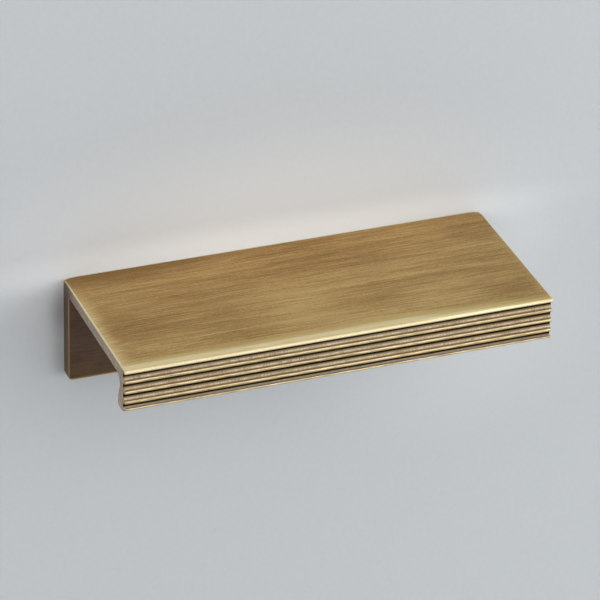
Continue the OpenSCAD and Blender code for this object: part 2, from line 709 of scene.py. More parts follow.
@dataclass(frozen=True)
class FaceWear:
    """How the top face is worn and lighter towards its front, partly as painted reflection, by tone
    and by millimetres from its front, sides and wall.

    Ranges run from where an effect starts to where it is full. Those of four numbers also say
    how strong it is at either.
    """

    dark_tones: Pair = (-0.42, 0.04)
    light_tones: Pair = (-0.04, 0.42)
    waver: float = 1.2
    narrowing_start: float = 16.0
    narrowing: float = 0.056
    olive_reach: Pair = (5.0, 1.8)
    turnover: float = 8.0
    side_ragged: float = 3.4
    side_widths: Pair = (0.9, 2.8)
    side_rim: float = 0.1
    side_fade: tuple[float, ...] = (-4.0, -17.0, 0.05, 0.92)
    side_strengths: Pair = (0.3, 1.0)
    band_waver: float = 0.9
    band_reach: Pair = (2.55, 1.1)
    band_streaks: tuple[float, ...] = (0.72, 0.28, 0.0, 0.5)
    golden_line: tuple[float, ...] = (0.7, 0.3, 0.0, 0.7)
    # Where the painted shade line over the brow's highlight lies, by distance from the front
    brow_line: tuple[float, ...] = (0.28, 0.1, 0.0, 0.8)


@dataclass(frozen=True)
class AgedBrass:
    """Aged brass, brushed along its length, dark in the grooves from patina and painted shadow,
    worn on its edges, with painted light and shade in places.
    """

    dark: Colour = (0.30, 0.165, 0.05)
    middle: Colour = (0.505, 0.317, 0.113)
    light: Colour = (0.70, 0.495, 0.205)
    olive: Colour = (0.73, 0.55, 0.23)
    wash: Colour = (0.82, 0.62, 0.30)
    cream: Colour = (1.0, 0.87, 0.53)
    # The brow is worn brass with a painted highlight, and a painted shade line trims its upper side
    brow_line: Colour = (0.74, 0.6438, 0.3922)
    brow: Colour = (0.99, 0.88, 0.60)
    # Patina with painted shadow in the black lines, and the tint that darkens their reflections
    groove_line: Colour = (0.026, 0.012, 0.002)
    groove_edge: Colour = (0.12, 0.06, 0.015)
    groove_shade: Colour = (0.23, 0.165, 0.10)
    groove_floor: Colour = (0.89, 0.785, 0.62)
    groove_floor_dark: Colour = (0.36, 0.265, 0.185)
    sill: Colour = (0.98, 0.83, 0.67)
    toe_ledge: Colour = (1.0, 0.89, 0.88)
    # Painted shade: the tops of the noses are darkened for the dark grooves they reflect
    ledge: Colour = (0.50, 0.36, 0.22)
    crest: Colour = (0.93, 0.78, 0.46)
    crest_dull: Colour = (0.42, 0.31, 0.15)
    end_face: Colour = (0.655, 0.515, 0.40)
    end_face_filed: Colour = (0.36025, 0.28325, 0.22)
    # Painted shade on the end faces near the wall
    end_face_dark: Colour = (0.20, 0.14, 0.11)
    finger: Colour = (0.162, 0.108, 0.084)
    finger_dark: Colour = (0.08, 0.052, 0.038)
    finger_warm: Colour = (0.168, 0.112, 0.064)
    arris: Colour = (0.98, 0.88, 0.60)
    arris_dull: Colour = (0.42, 0.29, 0.115)
    # Painted light on the top's back arris where it meets the wall
    back_edge: Colour = (0.60, 0.54, 0.32)
    back: Colour = (0.33, 0.24, 0.12)
    back_dark: Colour = (0.15, 0.10, 0.05)
    bore: Colour = (0.44, 0.32, 0.15)
    bore_dark: Colour = (0.22, 0.16, 0.075)
    wear: FaceWear = FaceWear()
    fine: Streaks = Streaks(8.0, 0.13, 2.0, 2.8, 0.50)
    speckle: Streaks = Streaks(0.5, 0.22, 2.0, 2.4, 0.30)
    grain: Streaks = Streaks(18.0, 0.42, 1.5, 2.2, 0.22)
    bands: Streaks = Streaks(28.0, 2.0, 1.5, 2.2, 0.16)
    clouds: Streaks = Streaks(32.0, 7.0, 1.5, 2.2, 0.20)
    floor_scratches: Streaks = Streaks(1.4, 0.24, 3.0, 3.6)
    floor_blotches: Mottle = Mottle(2.2, 4.0, 3.0)
    crest_wear: Streaks = Streaks(3.0, 0.16, 3.0, 3.6)
    end_filing: Streaks = Streaks(1.6, 0.3, 2.0, 4.0)
    end_slant: float = 38.0
    dull_wear: Streaks = Streaks(4.0, 0.25, 3.0, 2.6)
    dull_clouds: Mottle = Mottle(5.0, 4.0, 2.0)
    sheen: Streaks = Streaks(6.0, 0.3, 3.0, 1.6)
    scratches: Streaks = Streaks(5.0, 0.12, 4.0, 1.5)
    scratch_strength: float = 0.25
    scratch_height: float = 0.02
    anisotropy: float = 0.5
    # Share of a full turn from the tangent to the brushing's highlight
    anisotropic_turn: float = 0.25
    roughness: Pair = (0.34, 0.46)
    hidden_roughness: float = 0.6
    hidden_floor: float = 0.6
    # Heights over the screw holes, and reaches from the wall, where one look passes into another
    toe_heights: Pair = (9.0, 8.4)
    warm_heights: Pair = (-7.0, 4.0)
    wall_shade_reach: Pair = (-9.0, -2.0)
    back_edge_heights: Pair = (0.0, 10.0)
    bright_arris: tuple[float, ...] = (-0.5, -8.0, 0.3, 1.0)
    # Tone varies at random in patches; the dark ones along the back, by the wall, are painted shade
    patches: tuple[Patch, ...] = (
        Patch((-4.0, -27.0, 0.0), (24.0, 16.0, 50.0), 0.32),
        Patch((6.0, -9.0, 0.0), (34.0, 8.0, 50.0), -0.18),
        Patch((20.0, -20.0, 0.0), (26.0, 9.0, 50.0), 0.12),
        Patch((12.0, -38.0, 0.0), (52.0, 8.0, 50.0), 0.30),
        Patch((-36.0, -38.0, 0.0), (22.0, 7.0, 50.0), 0.18),
        Patch((-42.0, -26.0, 0.0), (15.0, 8.0, 50.0), -0.32),
        Patch((-42.0, 0.0, 0.0), (42.0, 10.0, 50.0), -0.74),
        Patch((28.0, -31.0, 0.0), (16.0, 9.0, 50.0), 0.26),
        Patch((5.0, 0.0, 0.0), (60.0, 7.0, 50.0), -0.34),
        Patch((48.0, -6.0, 0.0), (16.0, 12.0, 50.0), -0.18),
        Patch((43.0, -37.0, 0.0), (12.0, 7.0, 50.0), -0.27),
    )

    def build(self, groups: ShaderGroups, sizes: PullSizes) -> bpy.types.Material:
        """Builds the material.

        Args:
            groups: The shared shader effects.
            sizes: The pull's sizes, for what changes with the distance from an edge.

        Returns:
            The material.
        """
        w = Surface("aged_brass", groups)
        colour = self._others(w, self._front(w, self._face(w, sizes)))
        # The ledge over the toe is tarnished, so it takes the light from above like a matt surface
        tarnished = w.math("MULTIPLY", w.mask(Zone.SILL), self._near_toe(w))
        tangent = w.out("ShaderNodeTangent", {}, direction_type="UV_MAP", uv_map="grain")
        inputs = {
            "Metallic": w.rest(tarnished),
            "Anisotropic": self.anisotropy,
            "Anisotropic Rotation": self.anisotropic_turn,
            "Base Color": colour,
            # Reflections in the black lines are darkened, as patina and painted shadow
            "Specular Tint": w.blend(w.mask(Zone.LINE), (1.0, 1.0, 1.0), self.groove_edge),
            "Roughness": self._roughness(w),
            "Normal": self._bump(w),
            "Tangent": tangent,
        }
        return w.close(w.out("ShaderNodeBsdfPrincipled", inputs))

    def _face(self, w: Surface, sizes: PullSizes) -> Socket:
        """Colour of the top face, streaked along the pull, with painted shade by the wall, and
        lighter towards its front, partly as painted reflection.

        Args:
            w: The material's wiring.
            sizes: The pull's sizes.

        Returns:
            The colour's socket.
        """
        wear, masks, tone = self.wear, {}, 0.0
        for streaks in (self.fine, self.speckle, self.grain, self.bands, self.clouds):
            masks[streaks] = w.lay(streaks)
            tone = w.math("ADD", tone, w.swing(masks[streaks], streaks.weight))
        # The dark patches by the wall are painted shade
        for patch in self.patches:
            tone = w.math("MULTIPLY_ADD", w.lay(patch), patch.strength, tone)
        colour = w.blend(w.ramp(tone, *wear.dark_tones), self.dark, self.middle)
        colour = w.blend(w.ramp(tone, *wear.light_tones), colour, self.light)
        # How far a point lies from the ends and from the front, whose wear and painted reflection
        # narrow to the right
        half = sizes.length / 2
        side = w.math("SUBTRACT", half, w.math("ABSOLUTE", w.x))
        to_right = w.math("MAXIMUM", w.math("SUBTRACT", w.x, wear.narrowing_start), 0.0)
        front = w.math("ADD", w.y, sizes.depth)
        front = w.math("MULTIPLY_ADD", to_right, wear.narrowing, front)
        # Olive towards the front: partly wear, partly painted reflection
        waver = w.swing(masks[self.bands], wear.waver)
        near_front = w.ramp(w.math("ADD", front, waver), *wear.olive_reach)
        colour = w.blend(near_front, colour, self.olive)
        # The left end is handled most, so it is rubbed lighter than the right one
        left = w.ramp(w.x, half - wear.turnover, wear.turnover - half)
        waver = w.math("ADD", waver, w.swing(masks[self.fine], wear.side_ragged))
        width = w.level(left, *wear.side_widths)
        rubbed = w.ramp(w.math("ADD", side, waver), width, wear.side_rim)
        rubbed = w.math("MULTIPLY", rubbed, w.ramp(w.y, *wear.side_fade))
        rubbed = w.math("MULTIPLY", rubbed, w.level(left, *wear.side_strengths))
        colour = w.blend(rubbed, colour, self.wash)
        # A pale band runs along the front, streaked with the side's colour: partly wear, partly
        # painted reflection
        band = w.blend(w.ramp(masks[self.fine], *wear.band_streaks), self.cream, self.wash)
        near = w.math("ADD", front, w.swing(masks[self.grain], wear.band_waver))
        colour = w.blend(w.ramp(near, *wear.band_reach), colour, band)
        # A thin golden line parts the pale band from the brow's painted highlight
        colour = w.blend(w.ramp(front, *wear.golden_line), colour, self.wash)
        # A painted shade line trims the upper side of the brow's painted highlight
        return w.blend(w.ramp(front, *wear.brow_line), colour, self.brow_line)

    def _front(self, w: Surface, colour: Socket) -> Socket:
        """Colour of the brow, grooves and ridges, with painted highlight, shadow and shade among
        them, laid over another one.

        Args:
            w: The material's wiring.
            colour: The colour so far.

        Returns:
            The colour's socket.
        """
        # The scratches in the grooves stand upright
        scratches = w.lay(self.floor_scratches, w.xyz(w.z, w.x, w.y))
        worn = w.mean(scratches, w.lay(self.floor_blotches))
        for zone, shade in (
            # Painted highlight on the brow
            (Zone.BROW, self.brow),
            (Zone.SHADE, self.groove_shade),
            (Zone.FLOOR, w.blend(worn, self.groove_floor_dark, self.groove_floor)),
            (Zone.SILL, w.blend(self._near_toe(w), self.sill, self.toe_ledge)),
            # Painted shade on the tops of the noses
            (Zone.LEDGE, self.ledge),
            (Zone.CREST, w.blend(w.lay(self.crest_wear), self.crest_dull, self.crest)),
            # Black lines of patina and painted shadow
            (Zone.LINE, self.groove_line),
        ):
            colour = w.blend(w.mask(zone), colour, shade)
        return colour

    def _others(self, w: Surface, colour: Socket) -> Socket:
        """Colour of the finger side, back, end faces, arrises and bores, laid over another.

        Args:
            w: The material's wiring.
            colour: The colour so far.

        Returns:
            The colour's socket.
        """
        clouds = w.lay(self.dull_clouds)
        hatched = w.mean(w.lay(self.dull_wear), clouds)
        finger = w.blend(w.ramp(w.z, *self.warm_heights), self.finger_warm, self.finger)
        # The end faces are painted darker near the wall, as painted shade
        ends = w.blend(self._filed(w), self.end_face_filed, self.end_face)
        ends = w.blend(w.ramp(w.y, *self.wall_shade_reach), ends, self.end_face_dark)
        # The arris along the top's back edge is paler and duller than those of the plate's foot:
        # painted light where it meets the wall
        edges = w.blend(w.ramp(w.z, *self.back_edge_heights), self.arris_dull, self.back_edge)
        for mask, shade in (
            (Zone.FINGER, w.blend(hatched, self.finger_dark, finger)),
            (Zone.BACK, w.blend(hatched, self.back_dark, self.back)),
            (Zone.ARRIS, edges),
            ("end_face", ends),
        ):
            colour = w.blend(w.mask(mask), colour, shade)
        # The end arris of the top face is worn bright, but less so towards the wall
        bright = w.math("ADD", w.mask(Zone.FACE), w.mask(Zone.BROW))
        bright = w.math("MULTIPLY", bright, w.ramp(w.y, *self.bright_arris))
        arris = w.blend(bright, self.arris_dull, self.arris)
        worn = w.math("MULTIPLY", w.mask("worn_arris"), w.rest(w.mask(Zone.LINE)))
        colour = w.blend(worn, colour, arris)
        return w.blend(w.mask("bore"), colour, w.blend(clouds, self.bore_dark, self.bore))

    def _filed(self, w: Surface) -> Socket:
        """Mask of the slanting file marks on the end faces.

        Args:
            w: The material's wiring.

        Returns:
            The mask's socket.
        """
        slant = math.radians(self.end_slant)
        cos, sin = math.cos(slant), math.sin(slant)
        turned = w.xyz(
            w.math("MULTIPLY_ADD", w.y, cos, w.math("MULTIPLY", w.z, sin)),
            w.math("MULTIPLY_ADD", w.y, -sin, w.math("MULTIPLY", w.z, cos)),
            w.x,
        )
        return w.lay(self.end_filing, turned)

    def _near_toe(self, w: Surface) -> Socket:
        """Mask of what lies below the last ridge."""
        return w.ramp(w.z, *self.toe_heights)

    def _roughness(self, w: Surface) -> Socket:
        """Roughness, which changes a little from streak to streak and is high in the grooves.

        Args:
            w: The material's wiring.

        Returns:
            The roughness socket.
        """
        rough = w.level(w.lay(self.sheen), *self.roughness)
        floor = w.math("MULTIPLY", w.mask(Zone.FLOOR), self.hidden_floor)
        hidden = w.math("MAXIMUM", w.mask(Zone.LINE), floor)
        return w.level(hidden, rough, self.hidden_roughness)

    def _bump(self, w: Surface) -> Socket:
        """Normal with the brushing's fine scratches."""
        inputs = {"Strength": self.scratch_strength, "Distance": self.scratch_height * MM}
        return w.out("ShaderNodeBump", {**inputs, "Height": w.lay(self.scratches)})


@dataclass(frozen=True)
class PaintedWall:
    """Matt paint on fine plaster, seen and felt from its front side only, with patches of painted
    light and painted shadow.
    """

    paint: Colour = (0.648, 0.682, 0.703)
    shade: Colour = (0.615, 0.652, 0.675)
    # Painted light on the wall is blended towards this colour
    pale: Colour = (0.98, 1.0, 1.0)
    # Painted shadow on the wall is blended towards this colour
    dim: Colour = (0.22, 0.23, 0.25)
    glow: Colour = (1.0, 0.99, 0.95)
    pale_patches: tuple[Patch, ...] = ()
    dim_patches: tuple[Patch, ...] = ()
    shine: float = 0.0
    grain: Mottle = Mottle(1.3, 4.0, 1.4)
    roughness: float = 0.85
    specular: float = 0.2
    grain_strength: float = 0.2
    grain_height: float = 0.1
    # Rays shorter than this pass, in millimetres
    touching: float = 0.5

    def build(self, groups: ShaderGroups, name: str) -> bpy.types.Material:
        """Builds the material.

        Args:
            groups: The shared shader effects.
            name: The material's name.

        Returns:
            The material.
        """
        w = Surface(name, groups)
        grain = w.lay(self.grain)
        colour = w.blend(grain, self.shade, self.paint)
        # Patches of painted light and painted shadow on the wall
        for patches, tint in ((self.pale_patches, self.pale), (self.dim_patches, self.dim)):
            for patch in patches:
                share = w.math("MULTIPLY", w.lay(patch), patch.strength)
                colour = w.blend(share, colour, tint)
        bump = {"Strength": self.grain_strength, "Distance": self.grain_height * MM}
        inputs = {
            "Base Color": colour,
            "Roughness": self.roughness,
            "Specular IOR Level": self.specular,
            "Normal": w.out("ShaderNodeBump", {**bump, "Height": grain}),
        }
        path = w.add("ShaderNodeLightPath").outputs
        if self.pale_patches:
            # The first patch also glows as painted light, for what the top plate throws back on the
            # wall, without lighting it
            looks = w.math("ADD", path["Is Camera Ray"], path["Is Glossy Ray"])
            looks = w.math("ADD", looks, path["Is Transmission Ray"])
            seen = w.math("MULTIPLY", w.lay(self.pale_patches[0]), w.math("MINIMUM", looks, 1.0))
            inputs["Emission Color"] = self.glow
            inputs["Emission Strength"] = w.math("MULTIPLY", seen, self.shine)
        # What touches the wall is lit as if the wall stood a little off, so its back isn't black
        close = w.math("LESS_THAN", path["Ray Length"], self.touching * MM)
        passed = w.math("MULTIPLY", close, w.rest(path["Is Camera Ray"]))
        behind = w.out("ShaderNodeNewGeometry", {}, "Backfacing")
        matt = w.out("ShaderNodeBsdfPrincipled", inputs)
        clear = w.out("ShaderNodeBsdfTransparent", {})
        unseen = w.math("MAXIMUM", behind, passed)
        return w.close(w.out("ShaderNodeMixShader", {0: unseen, 1: matt, 2: clear}))


class SweepTree:
    """The Geometry Nodes tree that sweeps a section along the pull and cuts its holes."""

    # Shifts of the section at the pull's ends, and the inputs that say how far in they reach
    falls: tuple[tuple[str, str], ...] = (
        ("back_fall", "Back Corner Reach"),
        ("foot_fall", "Foot Corner Reach"),
    )
    # How much closer the rails lie towards both ends
    crowding: float = 1.6
    # Points nearer than this are one, in metres
    weld: float = 2e-6
    hole_sides: int = 64
    # Each cutter runs this far past the plate, in metres
    overrun: float = 0.002
    # How much steeper than 45 degrees the easing at a countersink's rim is
    easing_slope: float = 3.0
    # Edges that turn by more than this, in degrees, stay sharp
    sharp_angle: float = 28.0

    def __init__(self, lengths: dict[str, float], counts: dict[str, int]) -> None:
        """Builds the tree.

        Args:
            lengths: Names and values of its lengths, in metres.
            counts: Names and values of its whole numbers.
        """
        self.tree = bpy.data.node_groups.new("pull_sweep", "GeometryNodeTree")
        face = self.tree.interface
        face.new_socket("Geometry", in_out="INPUT", socket_type="NodeSocketGeometry")
        for kind, values in (("NodeSocketFloat", lengths), ("NodeSocketInt", counts)):
            for name, value in values.items():
                face.new_socket(name, in_out="INPUT", socket_type=kind).default_value = value
        face.new_socket("Material", in_out="INPUT", socket_type="NodeSocketMaterial")
        face.new_socket("Geometry", in_out="OUTPUT", socket_type="NodeSocketGeometry")
        self.w = Wiring(self.tree)
        self.given = self.w.add("NodeGroupInput").outputs
        self._finish(self._bored(self._closed(self._sweep())))

    def _named(self, name: str, kind: str = "FLOAT") -> Socket:
        """Reads a named attribute."""
        inputs = {"Name": name}
        return self.w.out("GeometryNodeInputNamedAttribute", inputs, "Attribute", data_type=kind)

    def _at(self, point: Socket, value: str | Socket, kind: str = "FLOAT") -> Socket:
        """Reads a value of the section at one of its points.

        Args:
            point: Number of the point.
            value: The value on the section, or the name of its attribute.
            kind: The value's data type.

        Returns:
            The value's socket.
        """
        value = self._named(value, kind) if isinstance(value, str) else value
        return self.w.out(
            "GeometryNodeSampleIndex",
            {"Geometry": self.given["Geometry"], "Value": value, "Index": point},
            data_type=kind,
            domain="POINT",
        )

    def _store(
        self,
        mesh: Socket,
        name: str,
        value: object,
        kind: str = "FLOAT",
        domain: str = "POINT",
        where: object = True,
    ) -> Socket:
        """Stores a named attribute.

        Args:
            mesh: The geometry.
            name: The attribute's name.
            value: Its value.
            kind: Its data type.
            domain: Its domain.
            where: Which elements are given the value.

        Returns:
            The geometry with the attribute.
        """
        return self.w.out(
            "GeometryNodeStoreNamedAttribute",
            {"Geometry": mesh, "Name": name, "Value": value, "Selection": where},
            data_type=kind,
            domain=domain,
        )

    def _moved(self, mesh: Socket, position: Socket) -> Socket:
        """Sets a geometry's position."""
        return self.w.out("GeometryNodeSetPosition", {"Geometry": mesh, "Position": position})

    def _welded(self, mesh: Socket) -> Socket:
        """Merges the points of a geometry that lie on each other."""
        inputs = {"Geometry": mesh, "Distance": self.weld}
        return self.w.out("GeometryNodeMergeByDistance", inputs)

    def _sweep(self) -> Socket:
        """Lays a grid over the pull: round the section one way, and along the pull the other.

        Returns:
            The open sweep, with its masks.
        """
        w, given = self.w, self.given
        steps = given["Arris Steps"]
        count = w.out("GeometryNodeAttributeDomainSize", {0: given["Geometry"]}, "Point Count")
        rails = w.math("ADD", w.math("MULTIPLY_ADD", steps, 2.0, 1.0), given["Spans"])
        grid = w.out("GeometryNodeMeshGrid", {"Vertices X": count, "Vertices Y": rails})
        index = w.out("GeometryNodeInputIndex", {})
        point = w.math("FLOOR", w.math("DIVIDE", w.math("ADD", index, 0.5), rails))
        rail = w.math("SUBTRACT", index, w.math("MULTIPLY", point, rails))
        last = w.math("SUBTRACT", rails, 1.0)
        # Both ends turn over an arris of a quarter circle, whose radius is the point's softness
        from_end = w.math("MINIMUM", rail, w.math("SUBTRACT", last, rail))
        turned = w.math("DIVIDE", w.math("MINIMUM", from_end, steps), steps)
        angle = w.math("MULTIPLY", turned, math.pi / 2)
        softness = self._at(point, "softness")
        inset = w.math("MULTIPLY", softness, w.rest(w.math("SINE", angle)))
        back = w.math("MULTIPLY", softness, w.rest(w.math("COSINE", angle)))
        half = w.math("SUBTRACT", w.math("MULTIPLY", given["Length"], 0.5), back)
        x = w.math("MULTIPLY", half, self._along(rail))
        inward = w.scale(
            self._at(point, "outward", "FLOAT_VECTOR"), w.math("MULTIPLY", inset, -1.0)
        )
        place = self._at(point, w.out("GeometryNodeInputPosition", {}), "FLOAT_VECTOR")
        position = w.vector("ADD", w.vector("ADD", place, inward), self._rubbed(point, x))
        mesh = self._moved(grid, position)
        for zone in Zone:
            mesh = self._store(mesh, zone.value, self._at(point, zone.value))
        worn = w.rest(w.math("ABSOLUTE", w.math("MULTIPLY_ADD", turned, 2.0, -1.0)))
        mesh = self._store(mesh, "worn_arris", worn)
        grain = w.xyz(x, self._at(point, "walked"))
        return self._welded(self._store(mesh, "grain", grain, "FLOAT2", "CORNER"))

    def _along(self, rail: Socket) -> Socket:
        """Says where a rail lies, with the rails closer together towards both ends.

        Args:
            rail: Number of the rail.

        Returns:
            The share of half the length, from -1 to 1.
        """
        w = self.w
        passed = w.math("SUBTRACT", rail, self.given["Arris Steps"])
        middle = w.out("ShaderNodeClamp", {0: w.math("DIVIDE", passed, self.given["Spans"])})
        even = w.math("MULTIPLY_ADD", middle, 2.0, -1.0)
        inner = w.rest(w.math("ABSOLUTE", even))
        crowded = w.rest(w.math("POWER", inner, self.crowding))
        return w.math("MULTIPLY", w.math("SIGN", even), crowded)

    def _rubbed(self, point: Socket, x: Socket) -> Socket:
        """Gives a point's place along the pull, and how far its rubbed corners fall.

        Args:
            point: Number of the section's point.
            x: Place along the pull.

        Returns:
            The shift from the section.
        """
        w, given = self.w, self.given
        half = w.math("MULTIPLY", given["Length"], 0.5)
        from_side = w.math("SUBTRACT", half, w.math("ABSOLUTE", x))
        shift = w.xyz(x)
        for name, reach in self.falls:
            share = w.math("DIVIDE", from_side, given[reach])
            near = w.math("MAXIMUM", w.rest(share), 0.0)
            fall = self._at(point, name, "FLOAT_VECTOR")
            shift = w.vector("ADD", shift, w.scale(fall, w.math("MULTIPLY", near, near)))
        return shift

    def _closed(self, sweep: Socket) -> Socket:
        """Closes the sweep with a flat face at each end.

        Args:
            sweep: The open sweep.

        Returns:
            The closed mesh.
        """
        w, given = self.w, self.given
        outward = self._named("outward", "FLOAT_VECTOR")
        inward = w.scale(outward, w.math("MULTIPLY", self._named("softness"), -1.0))
        position = w.vector("ADD", w.out("GeometryNodeInputPosition", {}), inward)
        for name, _ in self.falls:
            position = w.vector("ADD", position, self._named(name, "FLOAT_VECTOR"))
        _, reach, height = w.split(position)
        # The section's last point lies on its first
        flat = self._moved(self._welded(given["Geometry"]), w.xyz(reach, height))
        outline = w.out("GeometryNodeMeshToCurve", {0: flat})
        filled = w.out("GeometryNodeFillCurve", {"Curve": outline}, mode="NGONS")
        filled = self._store(filled, "end_face", 1.0, domain="FACE")
        across, upward, _ = w.split(w.out("GeometryNodeInputPosition", {}))
        slant = w.xyz(w.math("ADD", across, upward), w.math("SUBTRACT", upward, across))
        filled = self._store(filled, "grain", slant, "FLOAT2", "CORNER")
        left, right = (
            self._moved(filled, w.xyz(w.math("MULTIPLY", given["Length"], side), across, upward))
            for side in (-0.5, 0.5)
        )
        joined = w.add("GeometryNodeJoinGeometry")
        for part in (w.out("GeometryNodeFlipFaces", {0: left}), right, sweep):
            w.feed(joined.inputs[0], part)
        return self._welded(joined.outputs[0])

    def _bored(self, whole: Socket) -> Socket:
        """Cuts the two countersunk screw holes.

        Args:
            whole: The closed mesh.

        Returns:
            The mesh with its holes.
        """
        w, given = self.w, self.given
        half = w.math("MULTIPLY", given["Hole Spacing"], 0.5)
        ends = {"Start Location": w.xyz(w.math("MULTIPLY", half, -1.0)), "Offset": w.xyz(half)}
        places = w.out(
            "GeometryNodeMeshLine", {"Count": 2, **ends}, mode="END_POINTS", count_mode="TOTAL"
        )
        plate = given["Plate Thickness"]
        shank = w.math("MULTIPLY", given["Hole Diameter"], 0.5)
        sink = w.math("MULTIPLY", given["Sink Diameter"], 0.5)
        depth = w.math("SUBTRACT", sink, shank)
        eased = w.math("DIVIDE", given["Sink Easing"], self.easing_slope)
        front = w.math("ADD", plate, self.overrun)
        cut = w.add("GeometryNodeMeshBoolean", operation="DIFFERENCE", solver="EXACT")
        w.feed(cut.inputs["Mesh 1"], whole)
        # Each cutter starts at a distance from the back face, with a radius, and opens by a slope
        for start, radius, slope in (
            (-self.overrun, shank, 0.0),
            (w.math("SUBTRACT", plate, depth), shank, 1.0),
            (w.math("SUBTRACT", plate, eased), sink, self.easing_slope),
        ):
            height = w.math("SUBTRACT", front, start)
            cone = w.out(
                "GeometryNodeMeshCone",
                {
                    "Vertices": self.hole_sides,
                    "Radius Top": w.math("MULTIPLY_ADD", height, slope, radius),
                    "Radius Bottom": radius,
                    "Depth": height,
                },
            )
            inputs = {"Geometry": cone, "Rotation": (math.pi / 2, 0.0, 0.0)}
            turned = w.out("GeometryNodeTransform", inputs)
            back = w.xyz(0.0, w.math("MULTIPLY", start, -1.0))
            inputs = {"Geometry": turned, "Translation": back}
            moved = w.out("GeometryNodeTransform", inputs)
            moved = self._store(moved, "bore", 1.0, domain="FACE")
            both = w.out("GeometryNodeInstanceOnPoints", {"Points": places, "Instance": moved})
            w.feed(cut.inputs["Mesh 2"], w.out("GeometryNodeRealizeInstances", {0: both}))
        return self._zoned(cut.outputs[0])

    def _zoned(self, mesh: Socket) -> Socket:
        """Gives the points that the holes have added the zone of the face round them.

        Args:
            mesh: The bored mesh.

        Returns:
            The mesh with a zone at every point.
        """
        w = self.w
        total = 0.0
        for zone in Zone:
            total = w.math("ADD", total, self._named(zone.value))
        added = w.math("LESS_THAN", total, 0.5)
        middle = w.math("MULTIPLY", self.given["Plate Thickness"], -0.5)
        _, depth, _ = w.split(w.out("GeometryNodeInputPosition", {}))
        front = w.math("LESS_THAN", depth, middle)
        # The choice is stored, as the first zone's new values would change it for the second
        mesh = self._store(mesh, "added", added)
        for zone, share in ((Zone.FINGER, front), (Zone.BACK, w.rest(front))):
            chosen = w.math("GREATER_THAN", self._named("added"), 0.5)
            mesh = self._store(mesh, zone.value, share, where=chosen)
        return mesh

    def _finish(self, mesh: Socket) -> None:
        """Smooths all but the sharp edges and end faces, and sets the material.

        Args:
            mesh: The bored mesh.
        """
        w = self.w
        mesh = w.out("GeometryNodeSetShadeSmooth", {"Geometry": mesh, "Shade Smooth": True})
        angle = w.out("GeometryNodeInputMeshEdgeAngle", {}, "Unsigned Angle")
        sharp = w.math("GREATER_THAN", angle, math.radians(self.sharp_angle))
        flat = w.math("GREATER_THAN", self._named("end_face"), 0.5)
        for domain, chosen in (("EDGE", sharp), ("FACE", flat)):
            inputs = {"Geometry": mesh, "Selection": chosen, "Shade Smooth": False}
            mesh = w.out("GeometryNodeSetShadeSmooth", inputs, domain=domain)
        real = w.out("GeometryNodeRealizeInstances", {0: mesh})
        inputs = {"Geometry": real, "Material": self.given["Material"]}
        w.feed(w.add("NodeGroupOutput").inputs[0], w.out("GeometryNodeSetMaterial", inputs))

    def identifiers(self) -> dict[str, str]:
        """Gives the modifier's key for each of the tree's inputs, by its name."""
        return {
            item.name: item.identifier
            for item in self.tree.interface.items_tree
            if item.item_type == "SOCKET" and item.in_out == "INPUT"
        }


